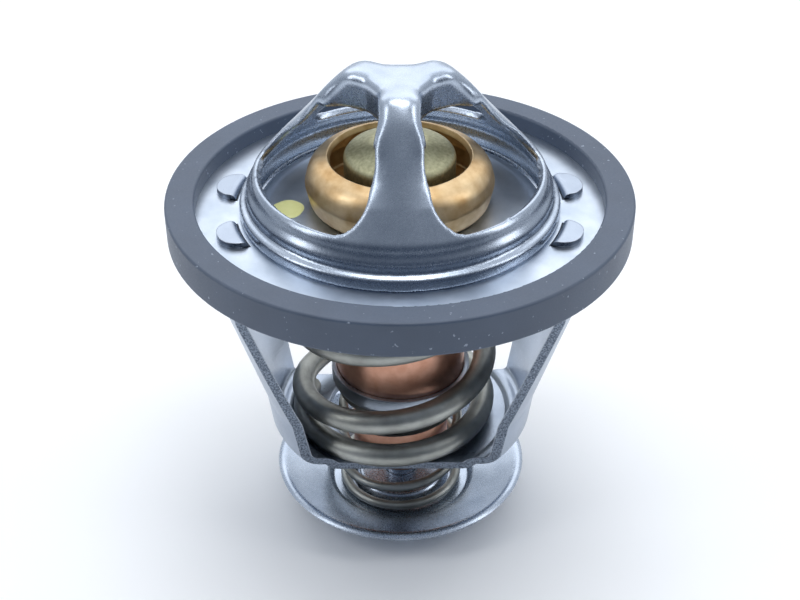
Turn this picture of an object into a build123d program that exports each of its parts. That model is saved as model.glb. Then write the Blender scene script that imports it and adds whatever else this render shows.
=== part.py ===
from build123d import *
import os
from math import atan2, sin, tan

# Wax thermostat for an engine's cooling circuit. All sizes are in millimetres.
# The axis is Z, the front is -Y, and z = 0 is the mid-plane of the rubber seal ring.

# Sheet of the pressed steel pieces, and the gap of pieces pressed together
sheet = 1.2
press_gap = 0.02

# Rubber seal ring: the driving size, which fills the housing's recess
seal_radius = 33.5
seal_band_width = 4.2
seal_thickness = 5.2
seal_edge_fillet = 0.4
seal_groove_gap = 0.05
seal_inner_radius = seal_radius - seal_band_width

# Flange plate
flange_grip = 2.3
flange_top = 0.1
flange_radius = seal_inner_radius + flange_grip
flange_bottom = flange_top - sheet

# Cage's upper edge and its ears, coined thin and folded out over the flange
cage_to_seal_gap = 2.2
ear_sheet = 0.8
ear_length = 3.0
ear_to_foot_gap = 0.6
ear_half_width = 3.1
ear_tip_fillet = 2.8
ear_angles = (10.0, -21.5)
ear_bend_radius = 0.6
slot_clearance = 0.2
cage_top_radius = seal_inner_radius - cage_to_seal_gap
ear_root_radius = cage_top_radius - ear_length

# Bridge's foot: a ridge, a neck in the flange's hole, a rolled edge below and the valve's seat
foot_radius = ear_root_radius - ear_sheet / 2 - ear_to_foot_gap
foot_ridge_inset = 0.15
foot_ridge_height = 2.0
foot_step = 0.7
rolled_edge_width = 1.1
rolled_edge_thickness = 0.9
throat_wall = 1.0
seat_width = 1.0
seat_height = 0.35
foot_ridge_radius = foot_radius - foot_ridge_inset
rolled_neck_radius = foot_radius - foot_step
rolled_edge_radius = rolled_neck_radius + rolled_edge_width
throat_radius = rolled_neck_radius - throat_wall
seat_radius = throat_radius - seat_width

# Bridge's hub, beaded skirt and three arms
bridge_top = 21.1
hub_radius = 7.3
hub_bend_radius = 3.0
lower_waist_radius = seat_radius + sheet / 2
lower_waist_height = 2.2
bead_depth = 0.6
bead_height = 3.2
bead_bend_radius = 0.65
waist_inset = 0.9
waist_height = 4.3
dome_foot_overhang = 0.6
dome_foot_height = 5.3
bead_radius = lower_waist_radius + bead_depth
waist_radius = bead_radius - waist_inset
dome_foot_radius = waist_radius + dome_foot_overhang
arm_count = 3
front_arm_angle = -90.0
rib_half_width = 2.4
rib_flare = 7.0
rib_crest_fillet = 2.0
rib_corner_fillet = 2.2
rib_foot_height = 14.6
rib_reach = 15.0
hub_half_width = 3.9
band_start = 7.0
band_start_half_width = 0.2
band_foot_length = 5.2
band_waist_half_width = 4.1
band_foot_half_width = 4.8
window_margin = 0.5
window_corner_radius = 3.4
window_floor = 5.6
window_radius = waist_radius - window_margin
band_waist = window_radius - band_foot_length

# Copper cup, with the rubber boot and the wax that it holds
cup_radius = 9.9
cup_side_wall = 1.9
cup_mouth_wall = 1.2
cup_neck_step = 2.4
cup_wall = 1.15
cup_shoulder = -30.4
cup_shoulder_fillet = 1.7
cup_bottom = -45.2
cup_bottom_fillet = 1.5
cup_ledge_radius = cup_radius - cup_side_wall
cup_neck_radius = cup_radius - cup_neck_step
boot_flange_thickness = 1.4
boot_wall = 1.9
boot_end = 2.0
boot_tip_gap = 0.5
fill_gap = 0.1

# Steel spring seat pressed over the cup's shoulder
seat_cup_sheet = 0.7
seat_cup_gap = 0.1
seat_cup_rise = 2.3

# Main spring round the cup, with closed and ground ends
main_spring_gap = 2.05
main_wire_radius = 1.75
main_coil_radius = cup_radius + main_spring_gap + main_wire_radius
main_open_turns = 2.26
main_closed_turns = 0.79
main_grind = 0.4
main_start_angle = -130.0

# Cage: a drawn cup cut to a strap, with a floor that seats the spring
floor_top = -37.3
floor_hole_gap = 0.7
floor_spring_gap = 1.45
floor_step_width = 0.7
floor_shelf_rise = 0.9
floor_shelf_width = 2.1
cage_corner_bend_radius = 1.5
cage_waist_flare = 0.9
cage_waist_height = -30.2
cage_shoulder_height = -11.1
cage_bend_radius = 4.0
cage_rim_bend_radius = 1.2
cage_front = 13.8
cage_back = 8.2
floor_hole_radius = cup_radius + seat_cup_gap + seat_cup_sheet + floor_hole_gap
floor_seat_radius = main_coil_radius + main_wire_radius + floor_spring_gap
floor_shelf_radius = floor_seat_radius + floor_step_width
cage_corner_radius = floor_shelf_radius + floor_shelf_width
cage_waist_radius = cage_corner_radius + cage_waist_flare

# Main valve plate, whose rim runs in the bridge's throat
valve_clearance = 0.4
valve_rim_width = 0.9
valve_bevel_width = 1.7
valve_shoulder_drop = 0.55
valve_bevel_bend_radius = 2.0
valve_rim_bend_radius = 0.7
valve_top = 0.8
valve_rim_height = -1.7
valve_bottom = valve_top - sheet
valve_radius = throat_radius - valve_clearance
valve_shoulder_radius = valve_radius - valve_rim_width
valve_flat_radius = valve_shoulder_radius - valve_bevel_width

# Brass collar on the valve plate
collar_sheet = 0.9
collar_foot_radius = 12.3
collar_foot_bend_radius = 0.9
collar_belly_radius = 13.35
collar_belly_height = 3.9
collar_belly_bend_radius = 4.0
collar_shoulder_radius = 12.6
collar_shoulder_height = 6.6
collar_shoulder_bend_radius = 2.4
collar_lip_radius = 10.1
collar_lip_height = 7.8

# Piston and the guide that it runs in
piston_radius = 2.2
piston_clearance = 0.05
piston_bottom = -22.0
piston_top_chamfer = 0.4
piston_tip_radius = 1.0
piston_tip_length = 5.0
spigot_radius = 6.2
spigot_top = 6.0
guide_flange_radius = cup_radius - cup_mouth_wall
guide_flange_top = -1.4
guide_flange_bottom = -3.6
guide_seal_thickness = 1.4
cap_radius = 8.0
cap_edge_height = 8.6
cap_top = 10.2
cap_hole_gap = 0.3

# Bypass spring round the cup's neck, with closed and ground ends
bypass_spring_gap = 0.85
bypass_wire_radius = 0.75
bypass_coil_radius = cup_neck_radius + bypass_spring_gap + bypass_wire_radius
bypass_open_turns = 3.0
bypass_closed_turns = 0.75
bypass_grind = 0.2
bypass_start_angle = -210.0

# Stem, retaining clip and bypass disc
stem_radius = 2.6
stem_clearance = 0.08
clip_width = 2.0
clip_thickness = 0.7
clip_gap = 0.1
clip_groove_depth = 0.6
dish_sheet = 0.9
dish_radius = 20.1
dish_rim_width = 1.1
dish_rim_drop = 0.4
dish_floor = -51.5
dish_depth = 4.15
dish_pocket_depth = 0.75
dish_pocket_gap = 1.35
dish_pocket_flare = 0.9
dish_boss_gap = 1.75
dish_boss_rise = 1.6
dish_bend_radius = 0.6
stem_recess = 0.5
clip_radius = stem_radius + clip_width
clip_groove_radius = stem_radius - clip_groove_depth
dish_lip_radius = dish_radius - dish_rim_width
dish_lip_height = dish_floor + dish_depth
dish_rim_height = dish_lip_height - dish_rim_drop
dish_shoulder_height = dish_floor + dish_pocket_depth
dish_pocket_radius = bypass_coil_radius + bypass_wire_radius + dish_pocket_gap
dish_shoulder_radius = dish_pocket_radius + dish_pocket_flare
dish_boss_radius = bypass_coil_radius - bypass_wire_radius - dish_boss_gap
stem_end_height = dish_floor - dish_sheet + stem_recess

os.makedirs("parts", exist_ok=True)


def sheet_section(points, bends, thickness=sheet):
    """Face of a bent sheet, centred on the line that runs through the points."""
    with BuildLine() as centre_line:
        FilletPolyline(*points, radius=bends)
    trace(centre_line.line, line_width=thickness)


def solid_section(*points):
    """Face with straight sides through the points."""
    with BuildLine() as outline:
        Polyline(*points, close=True)
    make_face(outline.edges())


def coil_path(radius, wire_radius, bottom, top, open_turns, closed_turns, start_angle):
    """Right-hand centre line: an open helix between two closed end coils."""
    closed_pitch = 2.06 * wire_radius
    open_pitch = (top - bottom - 2 * closed_turns * closed_pitch) / open_turns
    height = bottom
    angle = start_angle
    edges = []
    for pitch, turns in (
        (closed_pitch, closed_turns),
        (open_pitch, open_turns),
        (closed_pitch, closed_turns),
    ):
        place = Pos(0, 0, height) * Rot(0, 0, angle)
        edges.append(place * Helix(pitch, pitch * turns, radius, mode=Mode.PRIVATE))
        height += pitch * turns
        angle += 360 * turns
    return Wire(edges)


# Seal ring: a moulded band whose groove grips the flange's edge
with BuildPart() as seal_ring:
    with BuildSketch(Plane.XZ):
        with Locations(((seal_inner_radius + seal_radius) / 2, 0)):
            band = Rectangle(seal_radius - seal_inner_radius, seal_thickness)
        fillet(band.vertices(), seal_edge_fillet)
    revolve(axis=Axis.Z)
    with BuildSketch(Plane.XY.offset(flange_bottom)):
        Circle(flange_radius + seal_groove_gap)
    extrude(amount=sheet, mode=Mode.SUBTRACT)
seal_ring.part.label = "seal_ring"
export_step(seal_ring.part, "parts/seal_ring.step")

# Flange plate: a flat ring with four curved slots for the cage's ears
ear_places = [180 - angle for angle in ear_angles] + list(ear_angles)
with BuildPart() as flange_plate:
    with BuildSketch(Plane.XY.offset(flange_bottom)):
        Circle(flange_radius)
        Circle(rolled_neck_radius + press_gap, mode=Mode.SUBTRACT)
    extrude(amount=sheet)
    with BuildSketch(Plane.XY.offset(flange_bottom)):
        for angle in ear_places:
            with PolarLocations(ear_root_radius, 1, start_angle=angle):
                Rectangle(5 * ear_sheet, 2 * (ear_half_width + slot_clearance))
        Circle(ear_root_radius + ear_sheet / 2 + slot_clearance, mode=Mode.INTERSECT)
        Circle(ear_root_radius - ear_sheet / 2 - slot_clearance, mode=Mode.SUBTRACT)
    extrude(amount=sheet, mode=Mode.SUBTRACT)
flange_plate.part.label = "flange_plate"
export_step(flange_plate.part, "parts/flange_plate.step")

# Outer and inner form of the hub and the three raised ribs that run out from it
dome_slope = atan2(bridge_top - dome_foot_height, dome_foot_radius - hub_radius)


def rib_form(inset):
    """The ribbed hub as a solid, drawn in by a wall, with crests rounded like pressed sheet."""
    with BuildPart() as form:
        with BuildSketch(Plane.XY.offset(rib_foot_height)) as star:
            with PolarLocations(0, arm_count, start_angle=front_arm_angle):
                Polygon(
                    (0, inset - rib_half_width),
                    (rib_reach, inset - rib_half_width),
                    (rib_reach, rib_half_width - inset),
                    (0, rib_half_width - inset),
                    align=None,
                )
            RegularPolygon(
                hub_half_width - inset,
                arm_count,
                major_radius=False,
                rotation=front_arm_angle,
            )
            corners = star.vertices().group_by(lambda v: round(v.X**2 + v.Y**2))[0]
            fillet(corners, rib_corner_fillet + inset)
        extrude(amount=bridge_top - rib_foot_height, taper=-rib_flare)
        with BuildSketch(Plane.XZ):
            with BuildLine() as dome_line:
                crown = FilletPolyline(
                    (0, bridge_top - inset),
                    (hub_radius - inset * tan(dome_slope / 2), bridge_top - inset),
                    (dome_foot_radius - inset / sin(dome_slope), dome_foot_height),
                    radius=[hub_bend_radius - inset],
                )
                Polyline(crown @ 1, (0, dome_foot_height), crown @ 0)
            make_face(dome_line.edges())
        revolve(axis=Axis.Z, mode=Mode.INTERSECT)
        crests = form.faces().filter_by(lambda f: f.normal_at(f.center()).Z > 0.3)
        flanks = form.faces().filter_by(lambda f: abs(f.normal_at(f.center()).Z) < 0.2)
        crest_edges = crests.edges()
        fillet([e for e in flanks.edges() if e in crest_edges], rib_crest_fillet - inset)
    return form.part


# Bridge: the dome and its beaded skirt
with BuildPart() as bridge:
    with BuildSketch(Plane.XZ):
        sheet_section(
            [
                (0, bridge_top - sheet / 2),
                (hub_radius - sheet / 2 * tan(dome_slope / 2), bridge_top - sheet / 2),
                (dome_foot_radius - sheet / 2 / sin(dome_slope), dome_foot_height),
                (waist_radius, waist_height),
                (bead_radius, bead_height),
                (lower_waist_radius, lower_waist_height),
                (lower_waist_radius, lower_waist_height - sheet),
            ],
            [hub_bend_radius - sheet / 2] + 4 * [bead_bend_radius],
        )
    revolve(axis=Axis.Z)
    # Foot: a ridge above the flange, the valve's seat inside and a rolled edge below
    with BuildSketch(Plane.XZ):
        solid_section(
            (seat_radius, seat_height),
            (seat_radius, lower_waist_height),
            (lower_waist_radius, lower_waist_height),
            (foot_ridge_radius, foot_ridge_height),
            (foot_radius, flange_top),
            (rolled_neck_radius, flange_top),
            (rolled_neck_radius, flange_bottom),
            (rolled_edge_radius, flange_bottom),
            (rolled_edge_radius, flange_bottom - rolled_edge_thickness),
            (throat_radius, flange_bottom - rolled_edge_thickness),
            (throat_radius, seat_height),
        )
    revolve(axis=Axis.Z)
    # Windows between the arms
    with BuildSketch(Plane.XY.offset(window_floor)) as windows:
        Circle(window_radius)
        with PolarLocations(0, arm_count, start_angle=front_arm_angle):
            Polygon(
                (0, 0),
                (band_start, -band_start_half_width),
                (band_waist, -band_waist_half_width),
                (window_radius + sheet, -band_foot_half_width),
                (window_radius + sheet, band_foot_half_width),
                (band_waist, band_waist_half_width),
                (band_start, band_start_half_width),
                align=None,
                mode=Mode.SUBTRACT,
            )
        outer_corners = windows.vertices().group_by(lambda v: round(v.X**2 + v.Y**2))[-1]
        fillet(outer_corners, window_corner_radius)
    extrude(amount=bridge_top, mode=Mode.SUBTRACT)
    # Hub and ribs, hollow from below
    add(rib_form(0) - rib_form(sheet))
bridge.part.label = "bridge"
export_step(bridge.part, "parts/bridge.step")

# Cage: the drawn cup, cut to a strap by two planes
with BuildPart() as cage:
    with BuildSketch(Plane.XZ):
        sheet_section(
            [
                (ear_root_radius - ear_sheet / 2, flange_bottom - sheet / 2),
                (cage_top_radius - sheet / 2, flange_bottom - sheet / 2),
                (cage_top_radius - sheet / 2, cage_shoulder_height),
                (cage_waist_radius, cage_waist_height),
                (cage_corner_radius, floor_top - sheet / 2 + floor_shelf_rise),
                (floor_shelf_radius, floor_top - sheet / 2 + floor_shelf_rise),
                (floor_seat_radius, floor_top - sheet / 2),
                (floor_hole_radius, floor_top - sheet / 2),
            ],
            [cage_rim_bend_radius]
            + 2 * [cage_bend_radius]
            + [cage_corner_bend_radius]
            + 2 * [bead_bend_radius],
        )
    revolve(axis=Axis.Z)
    split(bisect_by=Plane.XZ.offset(cage_front), keep=Keep.BOTTOM)
    split(bisect_by=Plane.XZ.offset(-cage_back), keep=Keep.TOP)

# Ears: the strap's tongues, which pass the flange's slots and fold out over its top face
with BuildPart() as ears:
    with BuildSketch(Plane.XZ):
        sheet_section(
            [
                (ear_root_radius, flange_bottom - sheet / 2),
                (ear_root_radius, flange_top + ear_sheet / 2),
                (cage_top_radius + sheet, flange_top + ear_sheet / 2),
            ],
            [ear_bend_radius],
            ear_sheet,
        )
    revolve(axis=Axis.Z)
    with BuildSketch(Plane.XY.offset(flange_bottom - sheet)) as tongues:
        for angle in ear_places:
            with PolarLocations(ear_root_radius, 1, start_angle=angle):
                Rectangle(2 * ear_length, 2 * ear_half_width)
        tips = tongues.vertices().group_by(lambda v: round(v.X**2 + v.Y**2))[-1]
        fillet(tips, ear_tip_fillet)
    extrude(amount=4 * sheet, mode=Mode.INTERSECT)
with cage:
    add(ears.part)
cage.part.label = "cage"
export_step(cage.part, "parts/cage.step")

# Main spring, from the cage's floor to the underside of the valve plate
with BuildPart() as main_spring:
    main_path = coil_path(
        main_coil_radius,
        main_wire_radius,
        floor_top + main_wire_radius - main_grind,
        valve_bottom - main_wire_radius + main_grind,
        main_open_turns,
        main_closed_turns,
        main_start_angle,
    )
    with BuildSketch(Plane(origin=main_path @ 0, z_dir=main_path % 0)):
        Circle(main_wire_radius)
    sweep(path=main_path, transition=Transition.TRANSFORMED, is_frenet=True)
    split(bisect_by=Plane.XY.offset(floor_top), keep=Keep.TOP)
    split(bisect_by=Plane.XY.offset(valve_bottom), keep=Keep.BOTTOM)
main_spring.part.label = "main_spring"
export_step(main_spring.part, "parts/main_spring.step")

# Valve plate: a flat disc with a rounded rim that closes on the bridge's seat
with BuildPart() as valve_plate:
    with BuildSketch(Plane.XZ):
        sheet_section(
            [
                (spigot_radius + press_gap, valve_top - sheet / 2),
                (valve_flat_radius, valve_top - sheet / 2),
                (valve_shoulder_radius, valve_top - sheet / 2 - valve_shoulder_drop),
                (valve_radius - sheet / 2, valve_rim_height),
            ],
            [valve_bevel_bend_radius, valve_rim_bend_radius],
        )
    revolve(axis=Axis.Z)
valve_plate.part.label = "valve_plate"
export_step(valve_plate.part, "parts/valve_plate.step")

# Brass collar: a barrel-shaped cup, open at the top
collar_floor_top = valve_top + collar_sheet
with BuildPart() as brass_collar:
    with BuildSketch(Plane.XZ):
        sheet_section(
            [
                (spigot_radius + press_gap, valve_top + collar_sheet / 2),
                (collar_foot_radius, valve_top + collar_sheet / 2),
                (collar_belly_radius, collar_belly_height),
                (collar_shoulder_radius, collar_shoulder_height),
                (collar_lip_radius, collar_lip_height),
            ],
            [collar_foot_bend_radius, collar_belly_bend_radius, collar_shoulder_bend_radius],
            collar_sheet,
        )
    revolve(axis=Axis.Z)
brass_collar.part.label = "brass_collar"
export_step(brass_collar.part, "parts/brass_collar.step")

# Piston: a polished pin from the hub's underside down into the element
piston_top = bridge_top - sheet
with BuildPart() as piston:
    with BuildSketch(Plane.XZ):
        solid_section(
            (0, piston_top),
            (piston_radius - piston_top_chamfer, piston_top),
            (piston_radius, piston_top - piston_top_chamfer),
            (piston_radius, piston_bottom + piston_tip_length),
            (piston_tip_radius, piston_bottom),
            (0, piston_bottom),
        )
    revolve(axis=Axis.Z)
piston.part.label = "piston"
export_step(piston.part, "parts/piston.step")

# Guide: a turned flange and spigot, bored for the piston
bore_radius = piston_radius + piston_clearance
with BuildPart() as guide:
    with BuildSketch(Plane.XZ):
        solid_section(
            (bore_radius, spigot_top),
            (spigot_radius, spigot_top),
            (spigot_radius, guide_flange_top),
            (guide_flange_radius, guide_flange_top),
            (guide_flange_radius, guide_flange_bottom),
            (bore_radius, guide_flange_bottom),
        )
    revolve(axis=Axis.Z)
guide.part.label = "guide"
export_step(guide.part, "parts/guide.step")

# Guide seal: the rubber ring that wipes the piston
with BuildPart() as guide_seal:
    with BuildSketch(Plane.XY.offset(spigot_top)):
        Circle(spigot_radius - press_gap)
        Circle(bore_radius, mode=Mode.SUBTRACT)
    extrude(amount=guide_seal_thickness)
guide_seal.part.label = "guide_seal"
export_step(guide_seal.part, "parts/guide_seal.step")

# Guide cap: pressed over the spigot, it clamps the seal, the collar and the valve plate
with BuildPart() as guide_cap:
    with BuildSketch(Plane.XZ):
        with BuildLine():
            hole_radius = piston_radius + cap_hole_gap
            pocket_top = spigot_top + guide_seal_thickness
            crown = ThreePointArc(
                (hole_radius, cap_top),
                ((hole_radius + cap_radius) / 2, (2 * cap_top + cap_edge_height) / 3),
                (cap_radius, cap_edge_height),
            )
            Polyline(
                crown @ 1,
                (cap_radius, collar_floor_top),
                (spigot_radius + press_gap, collar_floor_top),
                (spigot_radius + press_gap, pocket_top),
                (hole_radius, pocket_top),
                crown @ 0,
            )
        make_face()
    revolve(axis=Axis.Z)
guide_cap.part.label = "guide_cap"
export_step(guide_cap.part, "parts/guide_cap.step")

# Copper cup: its mouth is crimped over the guide's flange
boot_top = guide_flange_bottom
ledge_height = boot_top - boot_flange_thickness
mouth_radius = guide_flange_radius + press_gap
with BuildPart() as wax_cup:
    with BuildSketch(Plane.XZ):
        solid_section(
            (spigot_radius + press_gap, valve_bottom),
            (cup_radius, valve_bottom),
            (cup_radius, cup_shoulder),
            (cup_neck_radius, cup_shoulder),
            (cup_neck_radius, cup_bottom),
            (0, cup_bottom),
            (0, cup_bottom + cup_wall),
            (cup_neck_radius - cup_wall, cup_bottom + cup_wall),
            (cup_neck_radius - cup_wall, cup_shoulder + cup_wall),
            (cup_ledge_radius, cup_shoulder + cup_wall + cup_shoulder_fillet),
            (cup_ledge_radius, ledge_height),
            (mouth_radius, ledge_height),
            (mouth_radius, guide_flange_top),
            (spigot_radius + press_gap, guide_flange_top),
        )
    revolve(axis=Axis.Z)
    rings = wax_cup.edges().filter_by(GeomType.CIRCLE)
    shoulder_ring = rings.filter_by(
        lambda e: abs(e.radius - cup_radius) < 0.01 and abs(e.center().Z - cup_shoulder) < 0.01
    )
    fillet(shoulder_ring, cup_shoulder_fillet)
    bottom_ring = wax_cup.edges().filter_by(GeomType.CIRCLE).group_by(Axis.Z)[0]
    fillet(bottom_ring, cup_bottom_fillet)
wax_cup.part.label = "wax_cup"
export_step(wax_cup.part, "parts/wax_cup.step")

# Rubber boot: a sleeve round the piston, closed below, with a flange clamped in the cup
boot_radius = bore_radius + boot_wall
boot_bore_end = piston_bottom - boot_tip_gap
with BuildPart() as rubber_boot:
    with BuildSketch(Plane.XZ):
        solid_section(
            (bore_radius, boot_top),
            (guide_flange_radius, boot_top),
            (guide_flange_radius, ledge_height),
            (boot_radius, ledge_height),
            (boot_radius, boot_bore_end),
            (piston_radius, boot_bore_end - boot_end),
            (0, boot_bore_end - boot_end),
            (0, boot_bore_end),
            (bore_radius, boot_bore_end),
        )
    revolve(axis=Axis.Z)
rubber_boot.part.label = "rubber_boot"
export_step(rubber_boot.part, "parts/rubber_boot.step")

# Wax filling round the boot
fill_neck_radius = cup_neck_radius - cup_wall - fill_gap
with BuildPart() as wax_fill:
    with BuildSketch(Plane.XZ):
        solid_section(
            (boot_radius + fill_gap, ledge_height - fill_gap),
            (cup_ledge_radius - fill_gap, ledge_height - fill_gap),
            (cup_ledge_radius - fill_gap, cup_shoulder + cup_wall + cup_shoulder_fillet),
            (fill_neck_radius, cup_shoulder + cup_wall + fill_gap),
            (fill_neck_radius, cup_bottom + cup_wall + fill_gap),
            (0, cup_bottom + cup_wall + fill_gap),
            (0, boot_bore_end - boot_end - fill_gap),
            (piston_radius + fill_gap, boot_bore_end - boot_end - fill_gap),
            (boot_radius + fill_gap, boot_bore_end),
        )
    revolve(axis=Axis.Z)
wax_fill.part.label = "wax_fill"
export_step(wax_fill.part, "parts/wax_fill.step")

# Spring seat: a shallow steel cup over the copper cup's shoulder
seat_cup_radius = cup_radius + seat_cup_gap + seat_cup_sheet / 2
with BuildPart() as spring_seat:
    with BuildSketch(Plane.XZ):
        sheet_section(
            [
                (seat_cup_radius, cup_shoulder + seat_cup_rise),
                (seat_cup_radius, cup_shoulder - seat_cup_sheet / 2),
                (cup_neck_radius + press_gap, cup_shoulder - seat_cup_sheet / 2),
            ],
            [seat_cup_sheet],
            seat_cup_sheet,
        )
    revolve(axis=Axis.Z)
spring_seat.part.label = "spring_seat"
export_step(spring_seat.part, "parts/spring_seat.step")

# Bypass disc: a pressed dish with a pocket for the spring and a raised boss on the stem
dish_floor_line = dish_floor - dish_sheet / 2
with BuildPart() as bypass_disc:
    with BuildSketch(Plane.XZ):
        sheet_section(
            [
                (dish_radius - dish_sheet / 2, dish_rim_height),
                (dish_lip_radius, dish_lip_height),
                (dish_shoulder_radius, dish_shoulder_height),
                (dish_pocket_radius, dish_floor_line),
                (dish_boss_radius + dish_sheet, dish_floor_line),
                (dish_boss_radius, dish_floor_line + dish_boss_rise),
                (stem_radius + stem_clearance, dish_floor_line + dish_boss_rise),
            ],
            5 * [dish_bend_radius],
            dish_sheet,
        )
    revolve(axis=Axis.Z)
bypass_disc.part.label = "bypass_disc"
export_step(bypass_disc.part, "parts/bypass_disc.step")

# Stem: turned, with a groove for the clip
clip_top = dish_floor_line + dish_boss_rise - dish_sheet / 2 - clip_gap
clip_bottom = clip_top - clip_thickness
with BuildPart() as bypass_stem:
    with BuildSketch(Plane.XZ):
        solid_section(
            (0, cup_bottom),
            (stem_radius, cup_bottom),
            (stem_radius, clip_top),
            (clip_groove_radius, clip_top),
            (clip_groove_radius, clip_bottom),
            (stem_radius, clip_bottom),
            (stem_radius, stem_end_height),
            (0, stem_end_height),
        )
    revolve(axis=Axis.Z)
bypass_stem.part.label = "bypass_stem"
export_step(bypass_stem.part, "parts/bypass_stem.step")

# Retaining clip: a spring-steel ring, open on one side
with BuildPart() as stem_clip:
    with BuildSketch(Plane.XY.offset(clip_bottom)):
        Circle(clip_radius)
        Circle(clip_groove_radius + press_gap, mode=Mode.SUBTRACT)
        with Locations((clip_radius / 2, 0)):
            Rectangle(clip_radius + sheet, 2 * clip_groove_radius * 0.8, mode=Mode.SUBTRACT)
    extrude(amount=clip_thickness)
stem_clip.part.label = "stem_clip"
export_step(stem_clip.part, "parts/stem_clip.step")

# Bypass spring, from the dish's pocket to the spring seat
with BuildPart() as bypass_spring:
    seat_face = cup_shoulder - seat_cup_sheet
    bypass_path = coil_path(
        bypass_coil_radius,
        bypass_wire_radius,
        dish_floor + bypass_wire_radius - bypass_grind,
        seat_face - bypass_wire_radius + bypass_grind,
        bypass_open_turns,
        bypass_closed_turns,
        bypass_start_angle,
    )
    with BuildSketch(Plane(origin=bypass_path @ 0, z_dir=bypass_path % 0)):
        Circle(bypass_wire_radius)
    sweep(path=bypass_path, transition=Transition.TRANSFORMED, is_frenet=True)
    split(bisect_by=Plane.XY.offset(dish_floor), keep=Keep.TOP)
    split(bisect_by=Plane.XY.offset(seat_face), keep=Keep.BOTTOM)
bypass_spring.part.label = "bypass_spring"
export_step(bypass_spring.part, "parts/bypass_spring.step")
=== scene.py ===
# %% [markdown]
# An engine thermostat stands on its small lower disc. Coolant pushes past the wide valve plate when the wax
# in the copper cup melts, swells and drives the cup down against the big spring. The pieces come from the
# CAD model at their real size, so this lesson is about what makes pressed steel, drawn copper, turned brass
# and moulded rubber look like themselves, and about the small things that a drawing leaves out.

# %% Load the frame
import math

import bpy
from mathutils import Matrix, Vector


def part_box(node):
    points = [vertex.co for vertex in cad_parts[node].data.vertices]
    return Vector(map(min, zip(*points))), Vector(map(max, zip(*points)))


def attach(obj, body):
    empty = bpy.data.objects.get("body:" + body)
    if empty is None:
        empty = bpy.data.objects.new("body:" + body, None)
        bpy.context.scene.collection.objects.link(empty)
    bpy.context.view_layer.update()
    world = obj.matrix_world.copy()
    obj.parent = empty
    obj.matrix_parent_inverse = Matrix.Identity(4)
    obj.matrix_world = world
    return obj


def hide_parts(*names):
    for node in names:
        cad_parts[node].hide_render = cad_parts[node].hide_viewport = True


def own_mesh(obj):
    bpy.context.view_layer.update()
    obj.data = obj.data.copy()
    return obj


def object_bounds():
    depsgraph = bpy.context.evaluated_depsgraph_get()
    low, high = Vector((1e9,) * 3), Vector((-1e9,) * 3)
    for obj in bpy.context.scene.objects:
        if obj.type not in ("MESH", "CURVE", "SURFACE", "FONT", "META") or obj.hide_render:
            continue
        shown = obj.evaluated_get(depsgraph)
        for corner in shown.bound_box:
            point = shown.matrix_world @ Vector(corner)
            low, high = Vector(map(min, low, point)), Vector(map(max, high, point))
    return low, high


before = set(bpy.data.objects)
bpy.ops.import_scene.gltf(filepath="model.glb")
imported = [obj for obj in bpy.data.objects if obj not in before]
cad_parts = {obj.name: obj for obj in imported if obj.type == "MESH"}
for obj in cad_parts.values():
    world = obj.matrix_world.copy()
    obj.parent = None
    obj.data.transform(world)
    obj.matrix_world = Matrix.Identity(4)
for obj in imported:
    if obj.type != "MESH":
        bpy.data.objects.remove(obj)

cad_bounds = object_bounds()
MM = 0.001
print("CAD box in mm:", [[round(c / MM, 2) for c in corner] for corner in cad_bounds])

# %% [markdown]
# The camera looks down at the front at 34.6 degrees with a lens of 61.6 mm. Those values come from fitting
# the rims of the rubber ring, the collar and the lower disc, which are true circles on the real object. Its
# place is in millimetres from the middle of the rubber ring, and it rolls a fraction of a degree. Place,
# tilt and roll are put together as one matrix, so that each can be changed without upsetting the others.

# %% Camera
ELEVATION = 34.634
LENS_MM = 61.59
SENSOR_MM = 36
CAMERA_PLACE = (-0.03, -170.39, 100.82)
CAMERA_ROLL = -0.186

camera_data = bpy.data.cameras.new("camera")
camera_data.lens = LENS_MM
camera_data.sensor_width = SENSOR_MM
camera_data.clip_start = 10 * MM
camera = bpy.data.objects.new("camera", camera_data)
bpy.context.scene.collection.objects.link(camera)
tilt = Matrix.Rotation(math.radians(90 - ELEVATION), 4, "X")
roll = Matrix.Rotation(math.radians(CAMERA_ROLL), 4, "Z")
camera.matrix_world = Matrix.Translation([c * MM for c in CAMERA_PLACE]) @ tilt @ roll
bpy.context.scene.camera = camera
print("camera at", tuple(round(c, 4) for c in camera.location))

# %% [markdown]
# Blender's sockets take linear colours, and the colours given here are sRGB, so one function turns one into
# the other. A second adds any node with its settings and links, and a third starts a material with its
# shader. An operator acts on all that is selected, and the CAD pieces arrive selected, so a last one clears
# the selection before a new piece is made.

# %% Helpers for colours, nodes and selection


def srgb(hex_colour):
    """Linear colour of an sRGB hex value, by the standard's own curve."""
    values = [int(hex_colour[i : i + 2], 16) / 255 for i in (1, 3, 5)]
    linear = [v / 12.92 if v <= 0.04045 else ((v + 0.055) / 1.055) ** 2.4 for v in values]
    return (*linear, 1.0)


def add_node(tree, kind, inputs=None, **settings):
    """A node with its settings, whose inputs are values or sockets of other nodes."""
    node = tree.nodes.new(kind)
    for name, value in settings.items():
        setattr(node, name, value)
    for name, value in (inputs or {}).items():
        if isinstance(value, bpy.types.NodeSocket):
            tree.links.new(value, node.inputs[name])
        else:
            node.inputs[name].default_value = value
    return node


def new_material(name):
    """A material with nothing but its shader, and its tree."""
    material = bpy.data.materials.new(name)
    material.use_nodes = True
    tree = material.node_tree
    tree.nodes.clear()
    shader = add_node(tree, "ShaderNodeBsdfPrincipled")
    add_node(tree, "ShaderNodeOutputMaterial", {"Surface": shader.outputs["BSDF"]})
    return material, tree, shader


def deselect():
    """Nothing stays selected, so the next operator works on its own piece alone."""
    for thing in bpy.context.selected_objects:
        thing.select_set(False)


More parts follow.
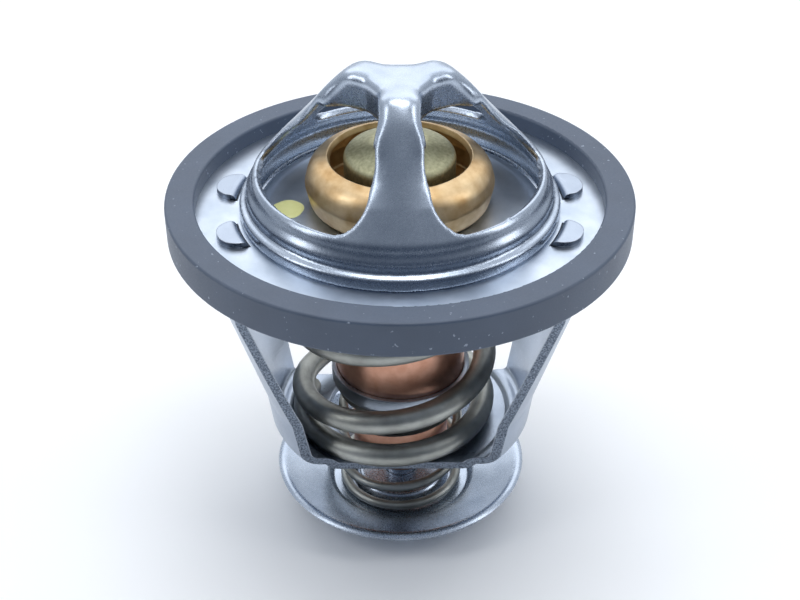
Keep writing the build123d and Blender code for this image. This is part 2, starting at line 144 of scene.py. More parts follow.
print("middle grey is", round(srgb("#808080")[0], 3), "in linear light")

# %% [markdown]
# The table is plain white paper: nearly matt, so it takes soft shadows and mirrors nothing. A large plane is
# enough, a hair below the disc so that the two faces don't flicker. When the wax is hot, the cup pushes down
# and the rest of the valve rises from the table, so the floor goes with the element and the disc always
# stands on it.

# %% Floor
FLOOR_SIZE = 4.0
FLOOR_DROP = 0.02 * MM
PAPER_ROUGHNESS = 0.9

deselect()
bpy.ops.mesh.primitive_plane_add(size=FLOOR_SIZE, location=(0, 0, cad_bounds[0][2] - FLOOR_DROP))
floor = bpy.context.object
floor.name = "studio_floor"
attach(floor, "element")

paper, _, paper_shader = new_material("white_table_paper")
paper_shader.inputs["Base Color"].default_value = srgb("#fcfdfe")
paper_shader.inputs["Roughness"].default_value = PAPER_ROUGHNESS
floor.data.materials.append(paper)
print("floor at", round(floor.location.z / MM, 2), "mm")

# %% [markdown]
# Bare metal has no colour of its own to show: it shows the room. A product table is white behind and above,
# so the metal turns bright, and the dark room behind the camera draws its shape. The sky here does the same:
# it is soft white behind and overhead and falls to a slate grey at the front. A plain white sky would leave
# the ribs and coils without form. Each direction is compared with one that points up and back, and the more
# they agree, the brighter it is.

# %% Sky
SKY_TONES = ("#4c5768", "#eaf0f8")
UP_AND_BACK = (0.0, 0.75, 0.55)
SKY_DARKEST, SKY_BRIGHTEST = -0.45, 0.85  # how far a direction agrees where the sky is at its ends
SKY_STRENGTH = 0.95

world = bpy.data.worlds.new("studio")
bpy.context.scene.world = world
world.use_nodes = True
sky = world.node_tree
sky.nodes.clear()
direction = add_node(sky, "ShaderNodeTexCoord")
agreement = add_node(
    sky,
    "ShaderNodeVectorMath",
    {0: direction.outputs["Generated"], 1: UP_AND_BACK},
    operation="DOT_PRODUCT",
)
share = add_node(
    sky,
    "ShaderNodeMapRange",
    {"Value": agreement.outputs["Value"], "From Min": SKY_DARKEST, "From Max": SKY_BRIGHTEST},
    interpolation_type="SMOOTHSTEP",
)
shade = add_node(
    sky,
    "ShaderNodeMix",
    {"Factor": share.outputs["Result"], "A": srgb(SKY_TONES[0]), "B": srgb(SKY_TONES[1])},
    data_type="RGBA",
)
sky_light = add_node(
    sky, "ShaderNodeBackground", {"Color": shade.outputs["Result"], "Strength": SKY_STRENGTH}
)
add_node(sky, "ShaderNodeOutputWorld", {"Surface": sky_light.outputs["Background"]})
print("sky from", SKY_TONES[0], "to", SKY_TONES[1], "at", SKY_STRENGTH)

# %% [markdown]
# A long highlight is what makes a rib or a coil look round. Two narrow soft boxes stand at the sides for
# that. A wide one behind lights the far rims, and one overhead keeps the table white and the shadow under
# the disc soft. Places and sizes are in metres, and each box faces the thermostat.

# %% Soft boxes
SOFT_BOXES = (
    # name, place, width and length, watts
    ("left_box", (-0.38, -0.10, 0.26), (0.12, 0.36), 0.42),
    ("right_box", (0.40, -0.06, 0.24), (0.12, 0.36), 0.42),
    ("back_box", (0.0, 0.30, 0.26), (0.70, 0.26), 0.62),
    ("top_box", (0.02, 0.02, 0.55), (0.36, 0.26), 1.0),
)

for box_name, box_place, box_size, watts in SOFT_BOXES:
    box_data = bpy.data.lights.new(box_name, "AREA")
    box_data.shape = "RECTANGLE"
    box_data.size, box_data.size_y = box_size
    box_data.energy = watts
    box = bpy.data.objects.new(box_name, box_data)
    bpy.context.scene.collection.objects.link(box)
    box.location = box_place
    box.rotation_euler = (-Vector(box_place)).to_track_quat("-Z", "Y").to_euler()
bpy.context.scene.view_settings.view_transform = "Standard"

# %% [markdown]
# Turning and grinding leave rings round the axis, and a wound wire's hairlines run round it too. One way is
# to unwrap each piece and stretch a pattern along it. Here all such pieces share one axis, so the pattern's
# coordinates are changed instead: distance from the axis and height count in full, and the way across only
# a little, which draws each grain out into a streak. The way across is skewed, so that the streaks don't
# change along one of the object's own axes.

# %% Streaks round the axis
STREAK_SKEW = -0.7


def round_the_axis(tree, place, streak):
    """Coordinates that draw a pattern out round the axis, the longer the smaller the streak."""
    parts = add_node(tree, "ShaderNodeSeparateXYZ", {"Vector": place})
    flat = add_node(
        tree, "ShaderNodeCombineXYZ", {"X": parts.outputs["X"], "Y": parts.outputs["Y"]}
    )
    radius = add_node(
        tree, "ShaderNodeVectorMath", {0: flat.outputs["Vector"]}, operation="LENGTH"
    )
    across = add_node(
        tree,
        "ShaderNodeVectorMath",
        {0: place, 1: (streak, STREAK_SKEW * streak, 0.0)},
        operation="DOT_PRODUCT",
    )
    drawn_out = add_node(
        tree,
        "ShaderNodeCombineXYZ",
        {"X": radius.outputs["Value"], "Y": parts.outputs["Z"], "Z": across.outputs["Value"]},
    )
    return drawn_out.outputs["Vector"]


# %% [markdown]
# A blanking tool shears a sheet part of the way and tears the rest. The torn part is so rough that plating
# can't make it shine: it stays dark and mottled. The cut faces could be a second material slot, but they
# all look along one axis, so their direction picks them out, and the finish works on any piece cut so.

# %% Torn edge of a blanked sheet
TORN_TONES = ("#4b535f", "#8a94a2")
TORN_MOTTLE = (0.35, 0.65)
TORN_FACING = (0.9, 0.97)


def torn_edge(tree, tone, facing, grain, cut):
    """The tone of torn steel on faces that look along cut, and the given tone on all others."""
    along = add_node(tree, "ShaderNodeVectorMath", {0: facing, 1: cut}, operation="DOT_PRODUCT")
    either_way = add_node(tree, "ShaderNodeMath", {0: along.outputs["Value"]}, operation="ABSOLUTE")
    torn = add_node(
        tree,
        "ShaderNodeMapRange",
        {"Value": either_way.outputs[0], "From Min": TORN_FACING[0], "From Max": TORN_FACING[1]},
    )
    mottle = add_node(
        tree,
        "ShaderNodeMapRange",
        {"Value": grain, "From Min": TORN_MOTTLE[0], "From Max": TORN_MOTTLE[1]},
    )
    torn_tone = add_node(
        tree,
        "ShaderNodeMix",
        {"Factor": mottle.outputs["Result"], "A": srgb(TORN_TONES[0]), "B": srgb(TORN_TONES[1])},
        data_type="RGBA",
    )
    both = add_node(
        tree,
        "ShaderNodeMix",
        {"Factor": torn.outputs["Result"], "A": tone, "B": torn_tone.outputs["Result"]},
        data_type="RGBA",
    )
    return both.outputs["Result"]


# %% [markdown]
# Every metal here has the same three layers. A wide, faint noise changes the tone over some millimetres,
# because no real surface is even. A fine one changes the gloss and is also a bump of a few microns. The last
# layer rounds each edge by a quarter of a millimetre and paints it brighter: partly the rub of tumbling,
# since a tumbled pressing has no sharp edge, and partly a painted highlight along every edge. Object
# coordinates keep each pattern fixed to the piece in real millimetres. The real grain is a few hundredths of
# a millimetre wide, too fine for the picture, so it is drawn about 0.2 mm wide to show.

# %% Metal
CLOUD_SPREAD, CLOUD_DETAIL = (0.32, 0.68), 4.0
GRAIN_SPREAD, GRAIN_DETAIL = (0.3, 0.7), 3.0
EDGE_MM = 0.25
EDGE_SAMPLES = 4
# The third tone is laid along each rounded edge: partly wear, partly a painted highlight.
RUB_GLINT_START, RUB_GLINT_FULL, RUB_GLINT_MOST = 0.99, 0.8, 0.75


def metal(name, tones, gloss, cloud_mm, grain_mm, depth_mm, streak=0.0, cut=None):
    """Metal with clouds between two tones, edges rubbed and given a painted highlight in the third, and
    grain in gloss and bump.
    The two gloss values are roughness. Streak and cut are what the two helpers before this one take."""
    material, tree, shader = new_material(name)
    shader.inputs["Metallic"].default_value = 1.0
    place = add_node(tree, "ShaderNodeTexCoord").outputs["Object"]
    clouds = add_node(
        tree,
        "ShaderNodeTexNoise",
        {"Vector": place, "Scale": 1 / (cloud_mm * MM), "Detail": CLOUD_DETAIL},
    )
    cloud_share = add_node(
        tree,
        "ShaderNodeMapRange",
        {
            "Value": clouds.outputs["Fac"],
            "From Min": CLOUD_SPREAD[0],
            "From Max": CLOUD_SPREAD[1],
        },
    )
    if streak:
        place = round_the_axis(tree, place, streak)
    grain = add_node(
        tree,
        "ShaderNodeTexNoise",
        {"Vector": place, "Scale": 1 / (grain_mm * MM), "Detail": GRAIN_DETAIL},
    )
    rough = add_node(
        tree,
        "ShaderNodeMapRange",
        {
            "Value": grain.outputs["Fac"],
            "From Min": GRAIN_SPREAD[0],
            "From Max": GRAIN_SPREAD[1],
            "To Min": gloss[0],
            "To Max": gloss[1],
        },
    )
    soft_edge = add_node(tree, "ShaderNodeBevel", {"Radius": EDGE_MM * MM}, samples=EDGE_SAMPLES)
    faces = add_node(tree, "ShaderNodeNewGeometry")
    match = add_node(
        tree,
        "ShaderNodeVectorMath",
        {0: soft_edge.outputs["Normal"], 1: faces.outputs["Normal"]},
        operation="DOT_PRODUCT",
    )
    rubbed_and_highlit = add_node(
        tree,
        "ShaderNodeMapRange",
        {
            "Value": match.outputs["Value"],
            "From Min": RUB_GLINT_START,
            "From Max": RUB_GLINT_FULL,
            "To Max": RUB_GLINT_MOST,
        },
    )
    tone = add_node(
        tree,
        "ShaderNodeMix",
        {"Factor": cloud_share.outputs["Result"], "A": srgb(tones[0]), "B": srgb(tones[1])},
        data_type="RGBA",
    ).outputs["Result"]
    if cut:
        tone = torn_edge(tree, tone, faces.outputs["Normal"], grain.outputs["Fac"], cut)
    # Painted highlight and wear: the edges take the third tone under any light.
    worn_and_highlit = add_node(
        tree,
        "ShaderNodeMix",
        {"Factor": rubbed_and_highlit.outputs["Result"], "A": tone, "B": srgb(tones[2])},
        data_type="RGBA",
    )
    bump = add_node(
        tree,
        "ShaderNodeBump",
        {
            "Height": grain.outputs["Fac"],
            "Distance": depth_mm * MM,
            "Normal": soft_edge.outputs["Normal"],
        },
    )
    tree.links.new(worn_and_highlit.outputs["Result"], shader.inputs["Base Color"])
    tree.links.new(rough.outputs["Result"], shader.inputs["Roughness"])
    tree.links.new(bump.outputs["Normal"], shader.inputs["Normal"])
    print(name, "has", len(tree.nodes), "nodes")
    return material


# %% [markdown]
# The pressings are cold-rolled steel sheet, plated with zinc and left clear: bright, cool and satin, with a
# grain like fine sand. The drawn ones were stretched over a die, which burnishes them a little. The springs
# are drawn wire, greyer, and the pins are ground.

# %% Steel finishes
# The third tone of each finish goes on its edges, as wear and as a painted highlight.
# Flat plated sheet: a cool, light grey whose satin spreads every lamp into a soft patch.
zinc_sheet = metal(
    "zinc_plated_sheet",
    tones=("#b0bbc9", "#c8d1dd", "#e2e8ef"),
    gloss=(0.30, 0.40),
    cloud_mm=5.0,
    grain_mm=0.22,
    depth_mm=0.002,
)
# Drawn sheet: smoother, so it mirrors more of the dark room and its highlights are crisper.
drawn_sheet = metal(
    "zinc_plated_drawn_sheet",
    tones=("#a2adbc", "#bac4d2", "#dfe5ed"),
    gloss=(0.24, 0.32),
    cloud_mm=6.0,
    grain_mm=0.25,
    depth_mm=0.002,
)
# Blanked and folded strap: the same sheet a little darker, between two dark torn edges.
strap_sheet = metal(
    "zinc_plated_blanked_strap",
    tones=("#9fa9b8", "#adb7c5", "#d0d7e1"),
    gloss=(0.27, 0.38),
    cloud_mm=6.0,
    grain_mm=0.25,
    depth_mm=0.002,
    cut=(0.0, 1.0, 0.0),
)
# Drawn wire: a warm, plain grey, with hairlines along the wire that break up its highlight.
spring_wire = metal(
    "drawn_spring_wire",
    tones=("#8f908b", "#b3b5b0", "#cdcec9"),
    gloss=(0.38, 0.52),
    cloud_mm=4.0,
    grain_mm=0.2,
    depth_mm=0.004,
    streak=0.08,
)
# Ground pin: close to a mirror, with rings so fine that they only soften the reflection.
ground_steel = metal(
    "ground_steel",
    tones=("#aeb4bd", "#cfd4da", "#e6e9ec"),
    gloss=(0.12, 0.22),
    cloud_mm=3.0,
    grain_mm=0.15,
    depth_mm=0.001,
    streak=0.4,
)

# %% [markdown]
# The collar is a drawn cup and the guide a thick sleeve. Both are brass and were skimmed on a lathe, which
# leaves rings. The cap over the guide was left dull and greenish by its heat treatment. The cup is copper,
# drawn deep and then annealed, because it has to carry heat to the wax fast.

# %% Brass and copper finishes
# Turned brass: a pale, warm gold with fine rings, and a broad soft highlight across them.
turned_brass = metal(
    "turned_brass",
    tones=("#c09c6c", "#e6cca2", "#f0dcb8"),
    gloss=(0.36, 0.50),
    cloud_mm=3.0,
    grain_mm=0.2,
    depth_mm=0.004,
    streak=0.12,
)
# Dull brass: a grey-green skin, speckled at half a millimetre, with almost no highlight.
dull_brass = metal(
    "dull_brass",
    tones=("#98977a", "#b9b696", "#cfccb0"),
    gloss=(0.42, 0.55),
    cloud_mm=0.5,
    grain_mm=0.2,
    depth_mm=0.012,
)
# Annealed copper: a soft pink with a satin sheen and the fine speckle of its crystals.
drawn_copper = metal(
    "drawn_copper",
    tones=("#dca389", "#f2bea4", "#f6d0bb"),
    gloss=(0.34, 0.46),
    cloud_mm=2.2,
    grain_mm=0.16,
    depth_mm=0.006,
)

# %% [markdown]
# The rubber is moulded nitrile: a slate blue-grey, nearly matt, with a soft sheen where light grazes it, a
# fine pebble from the mould, and pale specks of the dust and small nicks that rubber picks up. The mould's
# real pebble is finer than the picture can hold, so it is drawn 0.18 mm wide. The specks are the peaks of a
# coarser noise, because only its few highest places should turn pale.

# %% Moulded rubber
RUBBER_TONES = ("#465162", "#515e72")
RUBBER_GLOSS = (0.4, 0.55)
RUBBER_CLOUD_MM = 6.0
PEBBLE_MM, PEBBLE_DEPTH_MM = 0.18, 0.006
NICK_TONE, NICK_MM, NICK_DETAIL = "#a9b4c4", 0.85, 2.0
NICK_START, NICK_FULL, NICK_MOST = 0.69, 0.75, 0.7

rubber, tree, shader = new_material("moulded_nitrile_rubber")
place = add_node(tree, "ShaderNodeTexCoord").outputs["Object"]
clouds = add_node(tree, "ShaderNodeTexNoise", {"Vector": place, "Scale": 1 / (RUBBER_CLOUD_MM * MM)})
pebble = add_node(tree, "ShaderNodeTexNoise", {"Vector": place, "Scale": 1 / (PEBBLE_MM * MM)})
nicks = add_node(
    tree,
    "ShaderNodeTexNoise",
    {"Vector": place, "Scale": 1 / (NICK_MM * MM), "Detail": NICK_DETAIL},
)
nick_share = add_node(
    tree,
    "ShaderNodeMapRange",
    {
        "Value": nicks.outputs["Fac"],
        "From Min": NICK_START,
        "From Max": NICK_FULL,
        "To Max": NICK_MOST,
    },
)
tone = add_node(
    tree,
    "ShaderNodeMix",
    {"Factor": clouds.outputs["Fac"], "A": srgb(RUBBER_TONES[0]), "B": srgb(RUBBER_TONES[1])},
    data_type="RGBA",
)
specked = add_node(
    tree,
    "ShaderNodeMix",
    {"Factor": nick_share.outputs["Result"], "A": tone.outputs["Result"], "B": srgb(NICK_TONE)},
    data_type="RGBA",
)
sheen = add_node(
    tree,
    "ShaderNodeMapRange",
    {
        "Value": pebble.outputs["Fac"],
        "From Min": GRAIN_SPREAD[0],
        "From Max": GRAIN_SPREAD[1],
        "To Min": RUBBER_GLOSS[0],
        "To Max": RUBBER_GLOSS[1],
    },
)
bump = add_node(
    tree, "ShaderNodeBump", {"Height": pebble.outputs["Fac"], "Distance": PEBBLE_DEPTH_MM * MM}
)
tree.links.new(specked.outputs["Result"], shader.inputs["Base Color"])
tree.links.new(sheen.outputs["Result"], shader.inputs["Roughness"])
tree.links.new(bump.outputs["Normal"], shader.inputs["Normal"])
print("rubber has", len(tree.nodes), "nodes")

# %% [markdown]
# The wax is mixed with copper powder, which carries the heat into it: a pale, greasy yellow, peppered with
# brown. It only shows if the cup is opened, so one noise with two tones is enough. The powder is far finer
# than it is drawn here.

# %% Wax
WAX_TONES = ("#b98a63", "#d9c7a0")
POWDER_MM = 0.2

wax, tree, shader = new_material("copper_loaded_wax")
place = add_node(tree, "ShaderNodeTexCoord").outputs["Object"]
powder = add_node(tree, "ShaderNodeTexNoise", {"Vector": place, "Scale": 1 / (POWDER_MM * MM)})
tone = add_node(
    tree,
    "ShaderNodeMix",
    {"Factor": powder.outputs["Fac"], "A": srgb(WAX_TONES[0]), "B": srgb(WAX_TONES[1])},
    data_type="RGBA",
)
tree.links.new(tone.outputs["Result"], shader.inputs["Base Color"])
print("wax has", len(tree.nodes), "nodes")

# %% [markdown]
# Each CAD piece now gets the finish of the real one. Those inside the cup get theirs too, because the model
# can be taken apart. A list by name keeps the choice in one place, and a piece that stands for one of these
# later takes its finish from the same list.

# %% Give each piece its finish
FINISHES = {
    "seal_ring": rubber,
    "flange_plate": zinc_sheet,
    "bridge": drawn_sheet,
    "cage": strap_sheet,
    "main_spring": spring_wire,
    "valve_plate": zinc_sheet,
    "brass_collar": turned_brass,
    "piston": ground_steel,
    "guide": turned_brass,
    "guide_seal": rubber,
    "guide_cap": dull_brass,
    "wax_cup": drawn_copper,
    "rubber_boot": rubber,
    "wax_fill": wax,
    "spring_seat": zinc_sheet,
    "bypass_disc": drawn_sheet,
    "bypass_stem": ground_steel,
    "stem_clip": spring_wire,
    "bypass_spring": spring_wire,
}
for node_name, finish in FINISHES.items():
    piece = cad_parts[node_name]
    piece.data.materials.clear()
    piece.data.materials.append(finish)
print("finishes:", len(set(FINISHES.values())), "on", len(FINISHES), "pieces")

# %% [markdown]
# The bridge is drawn from one sheet. The press leaves no sharp crease anywhere: each rib flows into the hub
# and each arm into the skirt. It could be modelled anew as a subdivision surface, but the solid already has
# every size right, so a copy of it is softened instead. The CAD mesh is loose triangles, which are joined
# first, and the copy drops the node's own properties, so that it counts as a new piece.

# %% A copy of the bridge's solid
COPY_MERGE_MM = 0.002


def solid_copy(node_name, piece_name):
    """A piece of its own with a CAD node's faces, joined at their edges."""
    deselect()
    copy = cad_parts[node_name].copy()
    copy.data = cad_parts[node_name].data.copy()
    copy.name = piece_name
    copy.parent = None
    for key in list(copy.keys()):
        del copy[key]
    bpy.context.scene.collection.objects.link(copy)
    copy.select_set(True)
    bpy.context.view_layer.objects.active = copy
    bpy.ops.object.mode_set(mode="EDIT")
    bpy.ops.mesh.select_all(action="SELECT")
    bpy.ops.mesh.remove_doubles(threshold=COPY_MERGE_MM * MM)
    bpy.ops.object.mode_set(mode="OBJECT")
    return copy


pressed_bridge = solid_copy("bridge", "pressed_bridge")
print("copied solid:", len(pressed_bridge.data.polygons), "faces")

# %% [markdown]
# A remesh alone would leave sharp edges chipped where they cross its net, so a bevel rounds them first. The
# remesh then lays an even net of small squares over the sheet, which can be moved and smoothed like metal.

# %% Rounded edges and an even net
SHEET_EDGE_MM, SHEET_EDGE_STEPS, SHARP_EDGE = 0.3, 3, 50
FINE_NET_MM = 0.18


def shape_sheet(kind, **settings):
    """Adds a modifier with its settings to the active piece and applies it."""
    bpy.ops.object.modifier_add(type=kind)
    modifier = bpy.context.object.modifiers[-1]
    for name, value in settings.items():
        setattr(modifier, name, value)
    bpy.ops.object.modifier_apply(modifier=modifier.name)


shape_sheet(
    "BEVEL",
    width=SHEET_EDGE_MM * MM,
    segments=SHEET_EDGE_STEPS,
    limit_method="ANGLE",
    angle_limit=math.radians(SHARP_EDGE),
)
shape_sheet("REMESH", mode="VOXEL", voxel_size=FINE_NET_MM * MM)
print("fine net:", len(pressed_bridge.data.polygons), "faces")

# %% [markdown]
# The real pressing differs from its drawing in three small ways. Each arm is wider half way down, where the
# sheet had the furthest to go. Its flanks fall away from its middle, which crowns it. The ribs come out
# lower over the hub. A lattice or a sculpting brush could do this, but the three arms are alike, so the
# net's points are moved by rule: sideways from the middle of the nearest arm, and down.

# %% Arms and hub as pressed
ARM_ANGLES = (-90, 30, 150)
ARM_LOW = 9.5  # height in mm above which a point belongs to an arm or the hub
SWELL, SWELL_PLACE, SWELL_REACH = 0.5, 10.6, 1.7  # share, and its distance from the axis and its fall-off
ARM_CROWN, CROWN_LIMIT = 0.06, 30  # drop by the square of the way aside, which counts up to the limit
CROWN_START, CROWN_FADE = 6.5, 3  # distance from the axis where the crown starts, and its fade
HUB_LOW, HUB_TOP, HUB_PRESS = 17.5, 21.1, 0.66  # heights between which the hub sinks, and how far

arm_ways = [Vector((math.cos(a), math.sin(a), 0)) for a in map(math.radians, ARM_ANGLES)]
for vertex in pressed_bridge.data.vertices:
    point = vertex.co
    height = point.z / MM
    if height > ARM_LOW:
        outward = max(arm_ways, key=point.dot)
        sideways = Vector((-outward.y, outward.x, 0))
        reach = point.dot(outward) / MM
        aside = point.dot(sideways) / MM
        widened = aside * SWELL * math.exp(-(((reach - SWELL_PLACE) / SWELL_REACH) ** 2))
        past_hub = min(max((reach - CROWN_START) / CROWN_FADE, 0), 1)
        above_skirt = min(max((height - ARM_LOW) / CROWN_FADE, 0), 1)
        vertex.co = point + sideways * widened * MM
        vertex.co.z -= ARM_CROWN * min(aside**2, CROWN_LIMIT) * past_hub * above_skirt * MM
    if height > HUB_LOW:
        share = (height - HUB_LOW) / (HUB_TOP - HUB_LOW)
        vertex.co.z -= HUB_PRESS * share**2 * MM
print("bridge is", round(pressed_bridge.dimensions.z / MM, 2), "mm high")

# %% [markdown]
# Smoothing lets the net flow as the sheet did over the die, and takes the steps out of it. A second, coarser
# net keeps the piece light, and a last light smoothing evens that one out. The piece then takes the place
# of the CAD solid: it gets its finish, stands for it, and moves with the same body.

# %% Smooth sheet
SMOOTH_STRENGTH = 0.5
FLOW_ROUNDS, LAST_ROUNDS = 22, 5
FINAL_NET_MM = 0.264


def stand_for(piece, node_name, body):
    """The piece takes the node's place, its finish and its ride."""
    piece.data.materials.clear()
    piece.data.materials.append(FINISHES[node_name])
    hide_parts(node_name)
    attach(piece, body)
    print(piece.name, "has", len(piece.data.polygons), "faces")


shape_sheet("SMOOTH", factor=SMOOTH_STRENGTH, iterations=FLOW_ROUNDS)
shape_sheet("REMESH", mode="VOXEL", voxel_size=FINAL_NET_MM * MM)
shape_sheet("SMOOTH", factor=SMOOTH_STRENGTH, iterations=LAST_ROUNDS)
bpy.ops.object.shade_smooth()
stand_for(pressed_bridge, "bridge", "frame")

# %% [markdown]
# The collar and the cap are turned shapes: half a section is drawn as a line of points and spun once round
# the axis. Real corners are never sharp, so each corner of the line becomes a short arc. A sheet is drawn by
# its middle line and given its thickness on both sides, as a press tool's drawing gives it.

# %% Sections with rounded corners
ARC_STEPS = 6


def rounded(corners, radii, steps=ARC_STEPS):
    """Points along a line whose inner corners are arcs of these radii."""
    path = [Vector(corners[0])]
    for before, corner, after, radius in zip(corners, corners[1:], corners[2:], radii):
        corner = Vector(corner)
        back = (Vector(before) - corner).normalized()
        onward = (Vector(after) - corner).normalized()
        half = back.angle(onward) / 2
        centre = corner + (back + onward).normalized() * radius / math.sin(half)
        start = corner + back * radius / math.tan(half) - centre
        end = corner + onward * radius / math.tan(half) - centre
        turn = math.atan2(start.x * end.y - start.y * end.x, start.dot(end))
        for step in range(steps + 1):
            path.append(centre + Matrix.Rotation(turn * step / steps, 2) @ start)
    path.append(Vector(corners[-1]))
    return path


def walled(line, thickness):
    """Closed outline of a sheet whose middle follows the line."""
    sides = []
    for here, point in enumerate(line):
        ahead = line[min(here + 1, len(line) - 1)] - line[max(here - 1, 0)]
        across = Vector((-ahead.y, ahead.x)).normalized() * thickness / 2
        sides.append((point + across, point - across))
    return [left for left, right in sides] + [right for left, right in reversed(sides)]


COLLAR_SHEET = 0.9
# radius and height in mm of the inner edge, the foot, the belly's crease, the shoulder and the mouth
COLLAR_CORNERS = [(6.3, 1.27), (12.45, 1.27), (13.1, 4.2), (12.45, 6.7), (10.1, 7.8)]
COLLAR_ARCS = [0.9, 0.5, 2.6]
collar_line = rounded(COLLAR_CORNERS, COLLAR_ARCS)
print("collar's line has", len(collar_line), "points")

# %% [markdown]
# The brass collar is a drawn cup whose wall was rolled out to a belly, which leaves one clear crease round
# it. A spin makes it in one go. Its seam is merged and its faces are turned outwards before it is shaded.

# %% Brass collar
SPIN_STEPS = 160
SPIN_MERGE_MM = 0.005
TURNED_CREASE = 35


def spun(name, outline):
    """A closed outline of (radius, height) points in mm, spun once round the axis."""
    deselect()
    bpy.ops.mesh.primitive_circle_add(vertices=len(outline), radius=MM)
    piece = bpy.context.object
    piece.name = name
    for vertex, point in zip(piece.data.vertices, outline):
        vertex.co = (point.x * MM, 0, point.y * MM)
    bpy.ops.object.mode_set(mode="EDIT")
    bpy.ops.mesh.select_all(action="SELECT")
    bpy.ops.mesh.spin(steps=SPIN_STEPS, angle=2 * math.pi, center=(0, 0, 0), axis=(0, 0, 1))
    bpy.ops.mesh.select_all(action="SELECT")
    bpy.ops.mesh.remove_doubles(threshold=SPIN_MERGE_MM * MM)
    bpy.ops.mesh.normals_make_consistent(inside=False)
    bpy.ops.object.mode_set(mode="OBJECT")
    bpy.ops.object.shade_smooth_by_angle(angle=math.radians(TURNED_CREASE))
    return piece


rolled_collar = spun("rolled_collar", walled(collar_line, COLLAR_SHEET))
stand_for(rolled_collar, "brass_collar", "element")

# %% [markdown]
# The cap inside the collar is pressed to a low dome with a small hole for the piston. Its wide corner arcs
# are the dome itself, so they get more steps. Its top and foot heights are read from the CAD solid.

# %% Domed cap
DOME_STEPS = 10
CAP_HOLE, CAP_DIP = 2.5, 0.05
CAP_ARCS = [4.0, 1.6, 6.0, 0.2]

cap_low, cap_high = (corner.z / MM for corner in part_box("guide_cap"))
cap_corners = [
    (CAP_HOLE, cap_high),
    (4.2, cap_high - CAP_DIP),
    (8.0, 8.7),
    (7.95, 5.2),
    (7.7, cap_low),
    (CAP_HOLE, cap_low),
]
domed_cap = spun("domed_cap", rounded(cap_corners, CAP_ARCS, DOME_STEPS))
stand_for(domed_cap, "guide_cap", "element")

# %% [markdown]
# A spring is one wire wound on a mandrel. Its two end coils are closed up and ground flat, so that it stands
# straight between its two seats. A screw modifier would give every coil the same pitch, so the path is
# drawn point by point as a helix whose pitch changes near its ends. It gets a round section, becomes a
# mesh, and is cut by the two planes that the grinder left.

# %% A wound and ground spring
POINTS_A_TURN = 72
WIRE_SIDES = 7
CLOSED_PITCH = 2.06  # in wire radii: the end coils lie a hair apart
WIRE_CREASE = 50


def wire_rise(turned, open_turns, closed_turns, open_pitch, closed_pitch):
    """How far the wire has risen in mm after so many turns."""
    closed_below = min(turned, closed_turns)
    closed_above = max(0.0, turned - closed_turns - open_turns)
    rise = (closed_below + closed_above) * closed_pitch
    return rise + (turned - closed_below - closed_above) * open_pitch


def spring(name, wire, coil, low, high, open_turns, closed_turns, grind, start, aside):
    """A closed spring of these wire and coil radii, with so much ground off at its two heights.
    Lengths are in mm. It starts at an angle in degrees and stands a little aside in x."""
    closed_pitch = CLOSED_PITCH * wire
    bottom = low + wire - grind
    top = high - wire + grind
    open_pitch = (top - bottom - 2 * closed_turns * closed_pitch) / open_turns
    turns = open_turns + 2 * closed_turns
    deselect()
    bpy.ops.curve.primitive_nurbs_path_add()
    path = bpy.context.object
    path.name = name
    path.data.splines.clear()
    line = path.data.splines.new("POLY")
    count = round(turns * POINTS_A_TURN)
    line.points.add(count)
    for step, point in enumerate(line.points):
        turned = turns * step / count
        rise = wire_rise(turned, open_turns, closed_turns, open_pitch, closed_pitch)
        angle = math.radians(start + 360 * turned)
        point.co = (
            (coil * math.cos(angle) + aside) * MM,
            coil * math.sin(angle) * MM,
            (bottom + rise) * MM,
            1.0,
        )
    path.data.dimensions = "3D"
    path.data.bevel_depth = wire * MM
    path.data.bevel_resolution = WIRE_SIDES
    path.data.use_fill_caps = True
    bpy.ops.object.convert(target="MESH")
    piece = bpy.context.object
    bpy.ops.object.mode_set(mode="EDIT")
    for height, side in ((low, {"clear_inner": True}), (high, {"clear_outer": True})):
        bpy.ops.mesh.select_all(action="SELECT")
        bpy.ops.mesh.bisect(
            plane_co=(0, 0, height * MM), plane_no=(0, 0, 1), use_fill=True, **side
        )
    bpy.ops.mesh.select_all(action="SELECT")
    bpy.ops.mesh.normals_make_consistent(inside=False)
    bpy.ops.object.mode_set(mode="OBJECT")
    bpy.ops.object.transform_apply(location=True, rotation=True, scale=True)
    bpy.ops.object.shade_smooth_by_angle(angle=math.radians(WIRE_CREASE))
    print(name, "has", round(turns, 2), "turns and an open pitch of", round(open_pitch, 2), "mm")
    return piece


# %% [markdown]
# The big spring stands on the cage's floor and pushes the valve plate up. The real one isn't quite in the
# middle of its seat: it stands a millimetre to the left.

# %% Main spring
CAGE_FLOOR = -37.3
VALVE_UNDERSIDE = -0.4

wound_spring = spring(
    "wound_main_spring",
    wire=1.75,
    coil=14.14,
    low=CAGE_FLOOR,
    high=VALVE_UNDERSIDE,
    open_turns=2.26,
    closed_turns=0.98,
    grind=1.08,
    start=-199.0,
    aside=-1.1,
)
stand_for(wound_spring, "main_spring", "frame")
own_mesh(wound_spring)

# %% [markdown]
# The small spring holds the disc away from the seat above it, and gives way when the disc meets its port.
# It rides with the element.

# %% Bypass spring
DISH_FLOOR = -51.5
SEAT_UNDERSIDE = -31.1

small_spring = spring(
    "wound_bypass_spring",
    wire=0.75,
    coil=9.1,
    low=DISH_FLOOR,
    high=SEAT_UNDERSIDE,
    open_turns=3.0,
    closed_turns=0.75,
    grind=0.2,
    start=-210.0,
    aside=0.0,
)
stand_for(small_spring, "bypass_spring", "element")
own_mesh(small_spring)

# %% [markdown]
# A works inspector dabs each tested valve with a spot of paint: a thick drop, half glossy, that dries a
# little darker where it is thinner. So its colour drifts between two pale greens over about a millimetre.

# %% Inspection paint
PAINT_TONES = ("#e6e998", "#f2f4b6")
PAINT_FLOW_MM = 1.2
PAINT_ROUGHNESS = 0.4

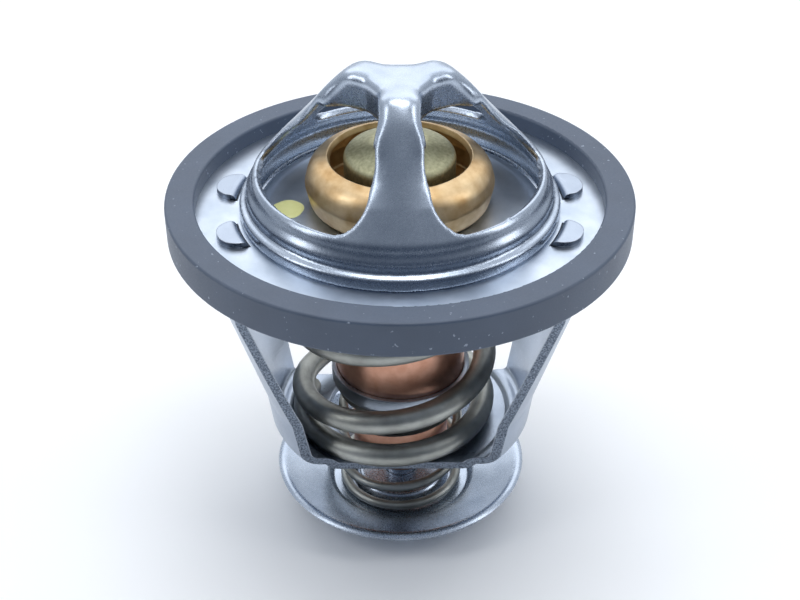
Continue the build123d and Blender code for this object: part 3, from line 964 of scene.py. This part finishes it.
paint, tree, shader = new_material("inspection_paint")
place = add_node(tree, "ShaderNodeTexCoord").outputs["Object"]
flow = add_node(tree, "ShaderNodeTexNoise", {"Vector": place, "Scale": 1 / (PAINT_FLOW_MM * MM)})
tone = add_node(
    tree,
    "ShaderNodeMix",
    {"Factor": flow.outputs["Fac"], "A": srgb(PAINT_TONES[0]), "B": srgb(PAINT_TONES[1])},
    data_type="RGBA",
)
tree.links.new(tone.outputs["Result"], shader.inputs["Base Color"])
shader.inputs["Roughness"].default_value = PAINT_ROUGHNESS
print("paint has", len(tree.nodes), "nodes")

# %% [markdown]
# The drop has flowed out: it is nearly round, thin at its rim and flat on top. Painting it into the plate's
# material would leave it without a thickness, so it is a small piece of its own. A disc is given its rim by
# two insets, each raised a little, and its outline is pushed in and out so that no two sides match.

# %% Inspection mark
MARK_PLACE = (-16.0, -2.8)
MARK_RADIUS, MARK_POINTS, MARK_STRETCH = 2.3, 48, 1.15
MARK_THICKNESS = 0.12
RIM_WIDTH, SHOULDER_WIDTH = 0.25, 0.3
RIM_SHARE, SHOULDER_SHARE = 0.7, 0.3
OVAL, OVAL_START, LOBES = 0.03, 0.6, 0.02
VALVE_TOP = 0.8

deselect()
bpy.ops.mesh.primitive_circle_add(
    vertices=MARK_POINTS,
    radius=MARK_RADIUS * MM,
    fill_type="NGON",
    location=(MARK_PLACE[0] * MM, MARK_PLACE[1] * MM, VALVE_TOP * MM),
)
mark = bpy.context.object
mark.name = "inspection_mark"
bpy.ops.object.mode_set(mode="EDIT")
bpy.ops.mesh.select_all(action="SELECT")
for width, part in ((RIM_WIDTH, RIM_SHARE), (SHOULDER_WIDTH, SHOULDER_SHARE)):
    bpy.ops.mesh.inset(thickness=width * MM)
    bpy.ops.transform.translate(value=(0, 0, part * MARK_THICKNESS * MM))
bpy.ops.mesh.poke()
bpy.ops.object.mode_set(mode="OBJECT")
for vertex in mark.data.vertices:
    angle = math.atan2(vertex.co.y, vertex.co.x)
    swell = 1 + OVAL * math.sin(2 * angle + OVAL_START) + LOBES * math.sin(5 * angle)
    vertex.co.x *= swell
    vertex.co.y *= MARK_STRETCH * swell
bpy.ops.object.transform_apply(location=True, rotation=True, scale=True)
bpy.ops.object.shade_smooth()
mark.data.materials.append(paint)
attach(mark, "element")
print("mark is about", round(2 * MARK_RADIUS, 1), "mm across")

# %% [markdown]
# The pieces made here soften what the solids show and stay inside the CAD model's box from the start. Only
# the top comes out lower, by the 0.7 mm that the ribs sink over the hub.
